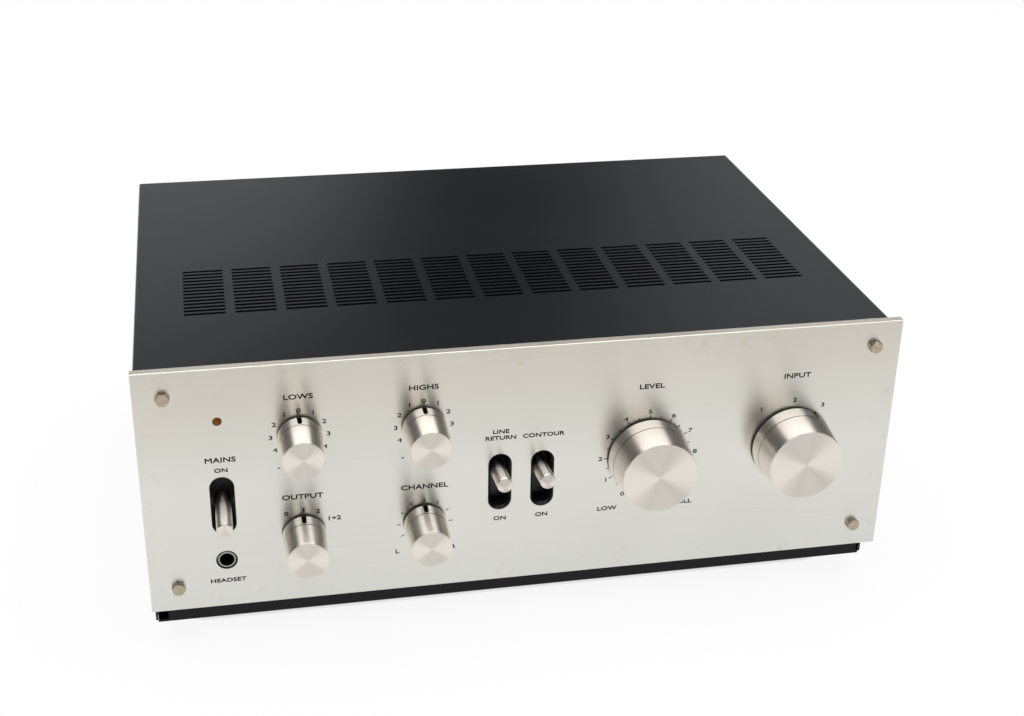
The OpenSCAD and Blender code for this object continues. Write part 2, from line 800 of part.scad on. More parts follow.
// Power supply and power stage
module transformer_core() color(charcoal) at_case() difference() {
  translate([core_x, core_y, 0]) difference() {
    union() {
      block(-core_w / 2, core_w / 2, -core_d / 2, core_d / 2, core_z, core_z + core_h);
      block(-core_w / 2, core_w / 2, -core_d / 2 - core_foot_out, core_d / 2 + core_foot_out, deck_z, core_z);
    }
    for (side = [0, 180]) rotate([0, 0, side])
      block(core_mid / 2, core_w / 2 - core_leg, -core_d, core_d,
        core_z + core_leg, core_z + core_h - core_leg);
  }
  for (spot = core_bolt_spots) at_floor(spot) post(core_bolt_r + seat, deck_z - past, core_z + past);
}

module transformer_winding() color(phenolic) at_case() translate([core_x, core_y, 0]) difference() {
  block(core_leg + winding_gap - core_w / 2, core_w / 2 - core_leg - winding_gap,
    -core_d / 2 - winding_out, core_d / 2 + winding_out, core_z + core_leg, core_z + core_h - core_leg);
  block(-core_mid / 2, core_mid / 2, -core_d / 2, core_d / 2, core_z, core_z + core_h);
}

module transformer_bolts() color(zinc) at_case() for (spot = core_bolt_spots) at_floor(spot) {
  post(core_bolt_r, floor_z - core_bolt_end, core_z + core_bolt_h / 2);
  translate([0, 0, core_z]) cylinder(d = core_bolt_af / cos(30), h = core_bolt_h, $fn = 6);
}

module filter_capacitors() color(black) at_case() for (side = [-1, 1])
  translate([board_x + side * capacitor_gap / 2, capacitor_y, 0]) {
    post(capacitor_r, board_top, board_top + capacitor_h - capacitor_bead);
    post(capacitor_r - capacitor_bead, board_top, board_top + capacitor_h);
  }

module heat_sink() color(silver) at_case() translate([sink_x, sink_y, deck_z]) linear_extrude(sink_h) {
  translate([-sink_w / 2, 0]) square([sink_w, sink_t]);
  for (i = [0 : sink_fins - 1])
    translate([i * (sink_w - fin_t) / (sink_fins - 1) - sink_w / 2, -fin_l])
      square([fin_t, fin_l + sink_t / 2]);
}

module output_transistors() color(zinc) at_case() for (i = block_places)
  translate([sink_x + i * transistor_gap, sink_y + sink_t, transistor_z]) {
    rod(transistor_r, 0, transistor_h);
    block(-transistor_r - transistor_ear, transistor_r + transistor_ear, 0, transistor_plate_t,
      -transistor_ear, transistor_ear);
  }

module amp_board() color(phenolic) at_case() difference() {
  block(board_x - board_w / 2, board_x + board_w / 2, board_y, board_y + board_d, board_z, board_top);
  for (spot = board_spots) at_floor(spot) post(screw_hole_r, board_z - past, board_top + past);
}

module tone_board() color(phenolic) at_front() difference() {
  block(tone_x - tone_board_in, treble_x + tone_board_in, pot_back, pot_back + board_t,
    lower_z - tone_board_in, upper_z + tone_board_in);
  at_spot([tone_x, lower_z]) rod(rotary_r + wafer_out + past, pot_back - past, pot_back + board_t + past);
}

module board_spacers() color(zinc) at_case() for (spot = board_spots) at_floor(spot) difference() {
  post(spacer_r, deck_z, board_z);
  post(screw_hole_r, deck_z - past, board_z + past);
}

// Rear connections
module jack_plate() color(phenolic) at_case() difference() {
  block(plate_x - plate_w / 2, plate_x + plate_w / 2, rear_face, jack_y,
    plate_z - plate_h / 2, plate_z + plate_h / 2);
  for (spot = jack_spots) at_spot(spot) rod(jack_stem_r + seat, rear_face - past, jack_y + past);
  for (spot = plate_screw_spots) at_spot(spot) rod(screw_hole_r, rear_face - past, jack_y + past);
}

module jack_shells() color(zinc) at_case() for (spot = jack_spots) at_spot(spot) difference() {
  union() {
    rod(jack_r, jack_y, jack_y + jack_l);
    rod(jack_base_r, jack_y, jack_y + jack_base_t);
    rod(jack_stem_r, rear_in - jack_tail, jack_y + jack_base_t);
  }
  rod(jack_in_r, jack_y + jack_base_t, jack_y + jack_l + past);
}

module jack_inserts() color(ivory) at_case() for (spot = jack_spots) at_spot(spot) difference() {
  rod(jack_in_r - seat, jack_y + jack_base_t, jack_y + jack_l - jack_mouth);
  rod(jack_pin_r, jack_y + 2 * jack_base_t, jack_y + jack_l);
}

module ground_post() color(zinc) at_case() translate([post_x, rear_face, post_z]) {
  rod(post_r, -sheet_t - post_tail, post_l);
  rod(post_nut_r, 0, post_washer_t);
  rod(post_nut_r, post_nut_y, post_nut_y + post_nut_t);
}

module speaker_terminals() color(black) at_case() for (x = block_xs)
  translate([x, rear_face, block_z]) difference() {
    block(-block_w / 2, block_w / 2, 0, block_d, -block_h / 2, block_h / 2);
    for (i = block_places) translate([i * block_step, 0, 0]) {
      rod(block_screw_r + seat, -past, block_d + past);
      block(block_rib - block_step / 2, block_step / 2 - block_rib, block_wall, block_d + past,
        block_wall - block_h / 2, block_h);
    }
  }

module terminal_screws() color(zinc) at_case() for (x = block_xs) for (i = block_places)
  translate([x + i * block_step, rear_face, block_z]) difference() {
    union() {
      rod(block_screw_r, -sheet_t - block_tail, block_wall + block_head_t / 2);
      rod(block_head_r, block_wall, block_wall + block_head_t);
    }
    block(-block_head_r, block_head_r, block_wall + block_head_t - block_slot_deep, block_d + past,
      -block_slot_w / 2, block_slot_w / 2);
  }

module fuse_holder() color(black) at_case() translate([fuse_x, rear_face, fuse_z]) difference() {
  union() {
    rod(fuse_r, -sheet_t - fuse_in, fuse_rim_t);
    rod(fuse_rim_r, 0, fuse_rim_t);
    rod(fuse_cap_r, 0, fuse_out);
  }
  block(-fuse_cap_r, fuse_cap_r, fuse_out - fuse_slot_deep, fuse_out + past,
    -fuse_slot_w / 2, fuse_slot_w / 2);
}

module cord_gland() color(black) at_case() translate([gland_x, rear_face, gland_z]) difference() {
  union() {
    rod(gland_r, -sheet_t - gland_in, gland_l);
    rod(gland_rim_r, 0, gland_rim_t);
    rod(gland_rim_r, -sheet_t - gland_in, -sheet_t);
  }
  rod(gland_bore, -sheet_t - gland_in - past, gland_l + past);
}

// Knobs: a turned cap over a black core on a flatted shaft
function cap_r(base_d, face_d, l, h) = (base_d + (face_d - base_d) * (h - cap_z) / (l - cap_z)) / 2;
function core_r(face_d, wall) = face_d / 2 - wall;

module knob_cap(base_d, face_d, l, wall, turn) {
  groove = cap_z + groove_up;
  low = groove - groove_w / 2;
  high = groove + groove_w / 2;
  bore = core_r(face_d, wall) + seat;
  notch = groove - notch_stop - notch_w / 2;
  rotate([90, 0, 0]) difference() {
    rotate_extrude() polygon([
      [bore, cap_z], [base_d / 2, cap_z], [cap_r(base_d, face_d, l, low), low],
      [cap_r(base_d, face_d, l, low) - groove_deep, low], [cap_r(base_d, face_d, l, low) - groove_deep, high],
      [cap_r(base_d, face_d, l, high), high], [face_d / 2, l - cap_edge], [face_d / 2 - cap_edge, l], [0, l],
      [0, l - cap_face_t], [bore, l - cap_face_t]
    ]);
    rotate([0, 0, -turn]) translate([0, bore - past, 0]) {
      block(-notch_w / 2, notch_w / 2, 0, base_d, 0, notch);
      translate([0, 0, notch]) rod(notch_w / 2, 0, base_d);
    }
  }
}

module flatted(r, flat, from, to, flat_from) difference() {
  post(r, from, to);
  block(-r - past, r + past, -r - past, -flat, flat_from, to + past);
}

module knob_core(base_d, face_d, l, wall, turn) rotate([90, 0, 0]) rotate([0, 0, -turn]) difference() {
  union() {
    post(base_d / 2 - flange_in, knob_gap, cap_z);
    post(core_r(face_d, wall), knob_gap, l - cap_face_t);
  }
  flatted(shaft_r + seat / 2, flat_r + seat / 2, 0, l - cap_face_t - core_room + seat, flat_z + seat);
}

module knob_shaft(l, turn) rotate([90, 0, 0]) rotate([0, 0, -turn])
  flatted(shaft_r, flat_r, -sub_y - shaft_in, l - cap_face_t - core_room, flat_z);

module small_cap(spot, turn) color(bright) at_front() at_spot(spot)
  knob_cap(small_knob_d, small_face_d, small_knob_l, small_wall, turn);
module small_core(spot, turn) color(black) at_front() at_spot(spot)
  knob_core(small_knob_d, small_face_d, small_knob_l, small_wall, turn);
module small_shaft(spot, turn) color(zinc) at_front() at_spot(spot) knob_shaft(small_knob_l, turn);
module large_cap(spot, turn) color(bright) at_front() at_spot(spot)
  knob_cap(large_knob_d, large_face_d, large_knob_l, large_wall, turn);
module large_core(spot, turn) color(black) at_front() at_spot(spot)
  knob_core(large_knob_d, large_face_d, large_knob_l, large_wall, turn);
module large_shaft(spot, turn) color(zinc) at_front() at_spot(spot) knob_shaft(large_knob_l, turn);

module bass_cap() small_cap(tone_spots[0], 0);
module bass_core() small_core(tone_spots[0], 0);
module bass_shaft() small_shaft(tone_spots[0], 0);
module treble_cap() small_cap(tone_spots[1], 0);
module treble_core() small_core(tone_spots[1], 0);
module treble_shaft() small_shaft(tone_spots[1], 0);
module balance_cap() small_cap(tone_spots[2], 0);
module balance_core() small_core(tone_spots[2], 0);
module balance_shaft() small_shaft(tone_spots[2], 0);
module speaker_cap() small_cap(rotary_spots[0], 0);
module speaker_core() small_core(rotary_spots[0], 0);
module speaker_shaft() small_shaft(rotary_spots[0], 0);
module volume_cap() large_cap(volume_spot, volume_rest);
module volume_core() large_core(volume_spot, volume_rest);
module volume_shaft() large_shaft(volume_spot, volume_rest);
module input_cap() large_cap(rotary_spots[1], input_rest);
module input_core() large_core(rotary_spots[1], input_rest);
module input_shaft() large_shaft(rotary_spots[1], input_rest);

// Levers: a metal handle on the stem of a pivoted arm, whose shield closes the slot
module lever_place(spot, tilt) at_front() translate([spot[0], pivot_y, spot[1]])
  rotate([tilt, 0, 0]) children();

module lever_handle(spot, tilt) color(bright) lever_place(spot, tilt) rotate([90, 0, 0]) difference() {
  rotate_extrude() polygon([
    [0, lever_root], [lever_r, lever_root], [lever_r, lever_tip - lever_edge],
    [lever_r - lever_edge, lever_tip], [0, lever_tip]
  ]);
  post(stem_r + seat, lever_root - past, stem_end + seat);
}

module lever_arm(spot, tilt) color(black) lever_place(spot, tilt) {
  bar(pin_r, -frame_half, frame_half);
  bar(hub_r, -hub_half, hub_half);
  rod(stem_r, -stem_end, 0);
  rod(tail_r, 0, tail_l);
  block(-shield_w / 2, shield_w / 2, -lever_root, shield_t - lever_root, -shield_h / 2, shield_h / 2);
}

module power_handle() lever_handle(lever_spots[0], lever_swing);
module power_arm() lever_arm(lever_spots[0], lever_swing);
module tape_handle() lever_handle(lever_spots[1], -lever_swing);
module tape_arm() lever_arm(lever_spots[1], -lever_swing);
module contour_handle() lever_handle(lever_spots[2], -lever_swing);
module contour_arm() lever_arm(lever_spots[2], -lever_swing);

front_panel();
sub_panel();
chassis();
rear_panel();
top_cover();
feet();
foot_screws();
panel_bolts();
case_screws();
slot_liners();
lamp_lens();
lamp_holder();
phones_jack();
phones_nut();
tone_pots();
volume_pot();
rotary_switches();
control_nuts();
lever_frames();
transformer_core();
transformer_winding();
transformer_bolts();
filter_capacitors();
heat_sink();
output_transistors();
amp_board();
tone_board();
board_spacers();
jack_plate();
jack_shells();
jack_inserts();
ground_post();
speaker_terminals();
terminal_screws();
fuse_holder();
cord_gland();
bass_cap();
bass_core();
bass_shaft();
treble_cap();
treble_core();
treble_shaft();
balance_cap();
balance_core();
balance_shaft();
speaker_cap();
speaker_core();
speaker_shaft();
volume_cap();
volume_core();
volume_shaft();
input_cap();
input_core();
input_shaft();
power_handle();
power_arm();
tape_handle();
tape_arm();
contour_handle();
contour_arm();
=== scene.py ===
# Looks of the stereo amplifier: metal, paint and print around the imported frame, in a plain studio
import json
import math
import bmesh
import bpy
from mathutils import Euler, Matrix, Vector


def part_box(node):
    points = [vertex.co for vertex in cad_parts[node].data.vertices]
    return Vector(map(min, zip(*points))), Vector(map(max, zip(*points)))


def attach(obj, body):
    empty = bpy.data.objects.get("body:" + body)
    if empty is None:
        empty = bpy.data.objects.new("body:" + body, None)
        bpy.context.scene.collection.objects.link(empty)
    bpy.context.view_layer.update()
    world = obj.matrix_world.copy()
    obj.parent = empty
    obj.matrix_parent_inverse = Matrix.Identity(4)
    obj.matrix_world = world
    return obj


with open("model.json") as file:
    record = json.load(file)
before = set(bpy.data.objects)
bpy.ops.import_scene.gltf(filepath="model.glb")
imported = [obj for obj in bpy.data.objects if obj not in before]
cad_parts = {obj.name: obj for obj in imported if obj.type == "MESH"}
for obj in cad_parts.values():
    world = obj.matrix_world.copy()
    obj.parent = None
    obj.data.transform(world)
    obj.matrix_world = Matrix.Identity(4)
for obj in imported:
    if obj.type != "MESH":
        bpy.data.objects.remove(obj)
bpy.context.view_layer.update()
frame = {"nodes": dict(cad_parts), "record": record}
nodes = frame["nodes"]
record = frame["record"]
scene = bpy.context.scene
mm = 0.001  # panel places below are in millimetres

panelLow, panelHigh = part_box("front_panel")
panelFront = panelLow.y  # plane of the panel's face
panelBottom = panelLow.z
print("frame:", len(nodes), "nodes, panel face at", round(panelFront, 4))


# Shader helpers: a value that is another node's socket is linked, any other value is set

def setSockets(tree, node, sockets):
    for name, value in sockets.items():
        if isinstance(value, bpy.types.NodeSocket):
            tree.links.new(value, node.inputs[name])
        else:
            node.inputs[name].default_value = value


def addNode(tree, kind, sockets=None, **settings):
    node = tree.nodes.new(kind)
    for name, value in settings.items():
        setattr(node, name, value)
    setSockets(tree, node, sockets or {})
    return node


def startFinish(name):
    finish = bpy.data.materials.new(name)
    finish.use_nodes = True
    tree = finish.node_tree
    tree.nodes.clear()
    shader = addNode(tree, "ShaderNodeBsdfPrincipled")
    addNode(tree, "ShaderNodeOutputMaterial", {"Surface": shader.outputs["BSDF"]})
    return finish, tree, shader


def mathValue(tree, operation, *values):
    return addNode(tree, "ShaderNodeMath", dict(enumerate(values)), operation=operation).outputs["Value"]


def vectorValue(tree, operation, *values):
    node = addNode(tree, "ShaderNodeVectorMath", dict(enumerate(values)), operation=operation)
    return node.outputs["Value" if operation in ("LENGTH", "DOT_PRODUCT") else "Vector"]


def splitVector(tree, vector):
    return addNode(tree, "ShaderNodeSeparateXYZ", {"Vector": vector}).outputs


def objectSpace(tree, stretch=(1, 1, 1)):
    place = addNode(tree, "ShaderNodeTexCoord").outputs["Object"]
    return addNode(tree, "ShaderNodeMapping", {"Vector": place, "Scale": stretch}).outputs["Vector"]


def noiseValue(tree, vector, scale, detail, roughness):
    return addNode(tree, "ShaderNodeTexNoise", {
        "Vector": vector, "Scale": scale, "Detail": detail, "Roughness": roughness}).outputs["Fac"]


noiseLow, noiseHigh = 0.3, 0.7  # most of a noise's values lie between these


def spreadValue(tree, value, low, high, fromLow=noiseLow, fromHigh=noiseHigh, ease="LINEAR"):
    return addNode(tree, "ShaderNodeMapRange", {
        "Value": value, "From Min": fromLow, "From Max": fromHigh, "To Min": low, "To Max": high,
    }, interpolation_type=ease).outputs["Result"]


def shadeAlong(tree, value, stops):
    ramp = addNode(tree, "ShaderNodeValToRGB", {"Fac": value})
    elements = ramp.color_ramp.elements
    while len(elements) < len(stops):
        elements.new(1.0)
    for element, (position, colour) in zip(elements, stops):
        element.position = position
        element.color = (*colour, 1)
    return ramp.outputs["Color"]


def shadeBetween(tree, value, dark, light, fromLow=noiseLow, fromHigh=noiseHigh):
    return shadeAlong(tree, value, ((fromLow, dark), (fromHigh, light)))


def shades(colour, spread):
    return tuple(c * (1 - spread) for c in colour), tuple(min(1.0, c * (1 + spread)) for c in colour)


def multiplied(tree, first, second):
    return addNode(tree, "ShaderNodeMix", {"Factor": 1.0, "A": first, "B": second},
                   data_type="RGBA", blend_type="MULTIPLY").outputs["Result"]


def bumpFrom(tree, height, depth):
    return addNode(tree, "ShaderNodeBump", {
        "Strength": 1.0, "Distance": depth, "Height": height}).outputs["Normal"]


def beyondBox(tree, low, high, inset):  # how far a point lies outside the box, drawn in by the inset
    middle, half = (low + high) / 2, (high - low) / 2
    place = addNode(tree, "ShaderNodeTexCoord").outputs["Object"]
    folded = vectorValue(tree, "ABSOLUTE", vectorValue(tree, "SUBTRACT", place, tuple(middle)))
    past = vectorValue(tree, "SUBTRACT", folded, tuple(h - i for h, i in zip(half, inset)))
    return vectorValue(tree, "LENGTH", vectorValue(tree, "MAXIMUM", past, (0, 0, 0)))


anyDepth = -1.0  # an inset that leaves one direction out of beyondBox

# Every noise below is (scale, detail, roughness)


# Front panel: fine horizontal brushing under clear anodising, stained near its edges

brushedPanel = {
    "shadeByHeight": (  # from the bottom up; painted shade: darker and warmer at the top, a little darker at the bottom
        (0.0, (0.755, 0.755, 0.71)), (0.5, (0.815, 0.80, 0.745)), (1.0, (0.715, 0.675, 0.595))),
    "lineStretch": (5.0, 1.0, 1500.0), "lineNoise": (1.0, 5.0, 0.65),
    "lineSpread": 0.035, "lineDepth": 0.000012,
    "cloudNoise": (14.0, 3.0, 0.55), "roughness": (0.28, 0.31), "anisotropy": 0.9,
    "stain": (0.89, 0.84, 0.72), "stainNoise": (170.0, 5.0, 0.7),
    "stainRange": (0.58, 0.76), "stainEdge": 0.02}


def makeBrushedPanel(look):
    finish, tree, shader = startFinish("brushedPanel")
    lines = noiseValue(tree, objectSpace(tree, look["lineStretch"]), *look["lineNoise"])
    cloud = noiseValue(tree, objectSpace(tree), *look["cloudNoise"])
    specks = noiseValue(tree, objectSpace(tree), *look["stainNoise"])
    place = addNode(tree, "ShaderNodeTexCoord").outputs["Generated"]
    # painted shade: the panel's colour follows its height, darker towards the top and the bottom
    tone = shadeAlong(tree, splitVector(tree, place)["Z"], look["shadeByHeight"])
    shine = shadeBetween(tree, lines, *shades((1.0, 1.0, 1.0), look["lineSpread"]))
    brushed = multiplied(tree, tone, shine)
    edge = beyondBox(tree, panelLow, panelHigh, (look["stainEdge"], anyDepth, look["stainEdge"]))
    worn = mathValue(tree, "MULTIPLY", spreadValue(tree, specks, 0.0, 1.0, *look["stainRange"]),
                     spreadValue(tree, edge, 0.0, 1.0, 0.0, look["stainEdge"]))
    aged = multiplied(tree, brushed, shadeBetween(tree, worn, (1, 1, 1), look["stain"], 0.0, 1.0))
    across = addNode(tree, "ShaderNodeTangent", direction_type="RADIAL", axis="X")
    setSockets(tree, shader, {
        "Base Color": aged, "Metallic": 1.0,
        "Roughness": spreadValue(tree, cloud, *look["roughness"]),
        "Anisotropic": look["anisotropy"],
        "Tangent": across.outputs["Tangent"],  # reflections smear up and down
        "Normal": bumpFrom(tree, lines, look["lineDepth"])})
    return finish


# Knobs and lever handles: turned on a lathe, so the grain runs round the axis

turnedMetal = {
    "colour": (0.85, 0.80, 0.72), "colourSpread": 0.025, "roughness": (0.37, 0.43),
    "rayNoise": (5.0, 6.0, 0.7), "faceRings": 95.0, "sideRings": 60.0,
    "ringDetail": 3.0, "ringDepth": 0.000008, "anisotropy": 0.95, "grainTurn": 0.25}
capGroove = {"ahead": 0.008, "core": 0.0002, "rim": 0.0003, "shade": 0.28}  # grime and painted shade darkening each cap's groove


def makeTurnedMetal(name, look, groove=None):
    finish, tree, shader = startFinish(name)
    place = addNode(tree, "ShaderNodeTexCoord").outputs
    flat = addNode(tree, "ShaderNodeMapping", {
        "Vector": place["Generated"], "Location": (-0.5, 0, -0.5), "Scale": (1, 0, 1)}).outputs["Vector"]
    face = mathValue(tree, "MULTIPLY", vectorValue(tree, "LENGTH", flat), look["faceRings"])
    along = splitVector(tree, place["Generated"])["Y"]
    side = mathValue(tree, "MULTIPLY_ADD", along, look["sideRings"], face)
    rings = addNode(tree, "ShaderNodeTexNoise", {
        "W": side, "Scale": 1.0, "Detail": look["ringDetail"]}, noise_dimensions="1D")
    outward = vectorValue(tree, "NORMALIZE", flat)
    rays = noiseValue(tree, outward, *look["rayNoise"])  # streaks from the axis outward
    tone = shadeBetween(tree, rays, *shades(look["colour"], look["colourSpread"]))
    # painted shade with grime: darkens the band round each cap's groove
    if groove:
        ahead = splitVector(tree, place["Object"])["Y"]
        away = mathValue(tree, "ABSOLUTE", mathValue(tree, "SUBTRACT", ahead, panelFront - groove["ahead"]))
        grimeAndShade = spreadValue(tree, away, groove["shade"], 1.0, groove["core"], groove["rim"])
        tone = multiplied(tree, tone, grimeAndShade)
    around = addNode(tree, "ShaderNodeTangent", direction_type="RADIAL", axis="Y")
    setSockets(tree, shader, {
        "Base Color": tone, "Metallic": 1.0,
        "Roughness": spreadValue(tree, rays, *look["roughness"]),
        "Anisotropic": look["anisotropy"], "Anisotropic Rotation": look["grainTurn"],
        "Tangent": around.outputs["Tangent"],
        "Normal": bumpFrom(tree, rings.outputs["Fac"], look["ringDepth"])})
    return finish


# Cover: satin charcoal paint with a fine grain, handling smudges and a little dust

satinCover = {
    "colour": (0.0098, 0.0103, 0.0115), "roughness": (0.19, 0.25), "smudgeNoise": (9.0, 5.0, 0.6),
    "dust": (0.025, 0.025, 0.026), "dustNoise": (420.0, 6.0, 0.7), "dustRange": (0.7, 0.86),
    "grainNoise": (1700.0, 2.0, 0.55), "grainDepth": 0.00002}


def makeSatinCover(look):
    finish, tree, shader = startFinish("satinCover")
    space = objectSpace(tree)
    smudge = noiseValue(tree, space, *look["smudgeNoise"])
    dust = noiseValue(tree, space, *look["dustNoise"])
    grain = noiseValue(tree, space, *look["grainNoise"])
    setSockets(tree, shader, {
        "Base Color": shadeBetween(tree, dust, look["colour"], look["dust"], *look["dustRange"]),
        "Roughness": spreadValue(tree, smudge, *look["roughness"]),
        "Normal": bumpFrom(tree, grain, look["grainDepth"])})
    return finish


# Plain finishes: one cloud of wear and one grain each

plainNoise = {"cloud": (5.0, 0.6), "grain": (2.0, 0.55)}  # detail and roughness of all of them
plainFinishes = {  # colour, its spread, metal, roughness, gloss, cloud scale, grain scale, grain depth
    "chassis_black": ((0.009, 0.009, 0.0095), 0.3, 0.0, (0.42, 0.55), 0.2, 60.0, 900.0, 0.00002),
    "black_plastic": ((0.008, 0.008, 0.0085), 0.3, 0.0, (0.34, 0.48), 0.5, 90.0, 1300.0, 0.00001),
    "foot_rubber": ((0.014, 0.014, 0.014), 0.35, 0.0, (0.65, 0.8), 0.5, 140.0, 1100.0, 0.00005),
    "zinc_steel": ((0.58, 0.57, 0.53), 0.14, 1.0, (0.28, 0.42), 0.5, 220.0, 700.0, 0.000012),
    "bolt_nickel": ((0.45, 0.385, 0.28), 0.16, 1.0, (0.28, 0.42), 0.5, 420.0, 1600.0, 0.00001),
    "jack_metal": ((0.72, 0.69, 0.62), 0.08, 1.0, (0.14, 0.26), 0.5, 300.0, 1200.0, 0.000006),
    "core_iron": ((0.045, 0.043, 0.042), 0.4, 0.6, (0.4, 0.6), 0.5, 90.0, 800.0, 0.00004),
    "winding_paper": ((0.52, 0.33, 0.1), 0.2, 0.0, (0.42, 0.6), 0.5, 70.0, 500.0, 0.00006),
    "sink_aluminium": ((0.62, 0.62, 0.61), 0.1, 1.0, (0.34, 0.48), 0.5, 120.0, 900.0, 0.00001),
    "board_phenolic": ((0.30, 0.17, 0.06), 0.16, 0.0, (0.4, 0.55), 0.5, 160.0, 900.0, 0.00002),
    "jack_ivory": ((0.72, 0.68, 0.58), 0.08, 0.0, (0.32, 0.45), 0.5, 200.0, 1200.0, 0.00001)}
jackRing = ((0.36, 0.33, 0.28), 0.12, 1.0, (0.3, 0.42), 0.5, 300.0, 1200.0, 0.000006)  # the jack's dull nut


def makePlainFinish(name, colour, spread, metal, roughness, gloss, cloudScale, grainScale, grainDepth):
    finish, tree, shader = startFinish(name)
    space = objectSpace(tree)
    cloud = noiseValue(tree, space, cloudScale, *plainNoise["cloud"])
    grain = noiseValue(tree, space, grainScale, *plainNoise["grain"])
    setSockets(tree, shader, {
        "Base Color": shadeBetween(tree, cloud, *shades(colour, spread)),
        "Roughness": spreadValue(tree, cloud, *roughness),
        "Metallic": metal, "Specular IOR Level": gloss,
        "Normal": bumpFrom(tree, grain, grainDepth)})
    return finish


# Pilot lamp: an unlit amber lens

amberLens = {
    "dark": (0.14, 0.042, 0.003), "light": (0.26, 0.095, 0.01), "roughness": (0.16, 0.25), "gloss": 0.2,
    "cloudNoise": (700.0, 3.0, 0.55), "depth": 0.00003, "glowThrough": 0.25, "glowReach": 0.001}


def makeAmberLens(look):
    finish, tree, shader = startFinish("amberLens")
    cloud = noiseValue(tree, objectSpace(tree), *look["cloudNoise"])
    setSockets(tree, shader, {
        "Base Color": shadeBetween(tree, cloud, look["dark"], look["light"]),
        "Roughness": spreadValue(tree, cloud, *look["roughness"]), "Specular IOR Level": look["gloss"],
        "Subsurface Weight": look["glowThrough"], "Subsurface Scale": look["glowReach"],
        "Normal": bumpFrom(tree, cloud, look["depth"])})
    return finish


# Ink of the panel print, a little thin in places

panelInk = {
    "dark": (0.003, 0.003, 0.003), "light": (0.014, 0.0135, 0.0125), "thinRange": (0.45, 0.8),
    "roughness": (0.6, 0.8), "gloss": 0.15, "cloudNoise": (900.0, 4.0, 0.55)}


def makePanelInk(look):
    finish, tree, shader = startFinish("panelInk")
    cloud = noiseValue(tree, objectSpace(tree), *look["cloudNoise"])
    setSockets(tree, shader, {
        "Base Color": shadeBetween(tree, cloud, look["dark"], look["light"], *look["thinRange"]),
        "Roughness": spreadValue(tree, cloud, *look["roughness"]), "Specular IOR Level": look["gloss"]})
    return finish


finishes = {name: makePlainFinish(name, *look) for name, look in plainFinishes.items()}
finishes["panel_aluminium"] = makeBrushedPanel(brushedPanel)
finishes["knob_metal"] = makeTurnedMetal("turnedMetal", turnedMetal)
finishes["cover_charcoal"] = makeSatinCover(satinCover)
finishes["lamp_amber"] = makeAmberLens(amberLens)
inkFinish = makePanelInk(panelInk)

for part in record["subparts"]:
    mesh = nodes[part["node"]].data
    mesh.materials.clear()
    mesh.materials.append(finishes[part["material_slot"]])
nodes["phones_nut"].data.materials[0] = makePlainFinish("jackRing", *jackRing)
# the caps get the turned metal with painted shade and grime in their groove
groovedMetal = makeTurnedMetal("groovedMetal", turnedMetal, capGroove)
for knob in ("bass", "treble", "balance", "speaker", "volume", "input"):
    nodes[knob + "_cap"].data.materials[0] = groovedMetal
print("finishes:", len(finishes), "on", len(record["subparts"]), "nodes")


# Panel print: numbers, ticks and plain words, as a thin layer of ink

printLayer = {
    "thickness": 0.02, "lift": 0.012, "tickWidth": 0.42,
    "weld": 0.004, "curveSteps": 4, "cornerLimit": 0.5}
wordType = {"size": 3.35, "wide": 1.4, "grow": (0.09, 0.13)}
smallType = {"size": 2.75, "wide": 1.4, "grow": (0.09, 0.13)}
markType = {"size": 2.9, "wide": 1.4, "grow": (0.09, 0.13)}
numberType = {"size": 2.9, "wide": 1.5, "grow": (0.06, 0.09)}


def panelPoint(x, z):
    return Vector((x * mm, panelFront - printLayer["lift"] * mm, panelBottom + z * mm))


def growLetters(letters, grow):  # thickens the strokes by moving the outlines outward
    bmesh.ops.remove_doubles(letters, verts=letters.verts, dist=printLayer["weld"] * mm)
    moves = {}
    for point in letters.verts:
        rims = [edge for edge in point.link_edges if len(edge.link_faces) == 1]
        if len(rims) != 2:
            continue
        outs = []
        for edge in rims:
            start, end = (corner.co for corner in edge.verts)
            along = (end - start).normalized()
            out = Vector((along.y, -along.x, 0))
            inside = edge.link_faces[0].calc_center_median() - start
            outs.append(-out if out.dot(inside) > 0 else out)
        reach = max(printLayer["cornerLimit"], 1 + outs[0].dot(outs[1]))  # sharp corners don't spike
        moves[point] = (outs[0] + outs[1]) / reach
    for point, move in moves.items():
        point.co += Vector((move.x * grow[0], move.y * grow[1], 0)) * mm


def addWords(sheet, words, x, z, style):
    curve = bpy.data.curves.new("words", "FONT")
    curve.body = words
    curve.size = style["size"] * mm
    curve.resolution_u = printLayer["curveSteps"]
    curve.align_x = "CENTER"
    curve.align_y = "CENTER"
    holder = bpy.data.objects.new("words", curve)
    scene.collection.objects.link(holder)
    mesh = bpy.data.meshes.new_from_object(holder.evaluated_get(bpy.context.evaluated_depsgraph_get()))
    mesh.transform(Matrix.Diagonal((style["wide"], 1, 1, 1)))
    letters = bmesh.new()
    letters.from_mesh(mesh)
    growLetters(letters, style["grow"])
    bmesh.ops.solidify(letters, geom=letters.faces, thickness=printLayer["thickness"] * mm)
    letters.to_mesh(mesh)
    letters.free()
    upright = Matrix.Rotation(math.radians(90), 4, "X")  # letters face the front
    mesh.transform(Matrix.Translation(panelPoint(x, z)) @ upright)
    sheet.from_mesh(mesh)
    bpy.data.objects.remove(holder)
    bpy.data.curves.remove(curve)
    bpy.data.meshes.remove(mesh)


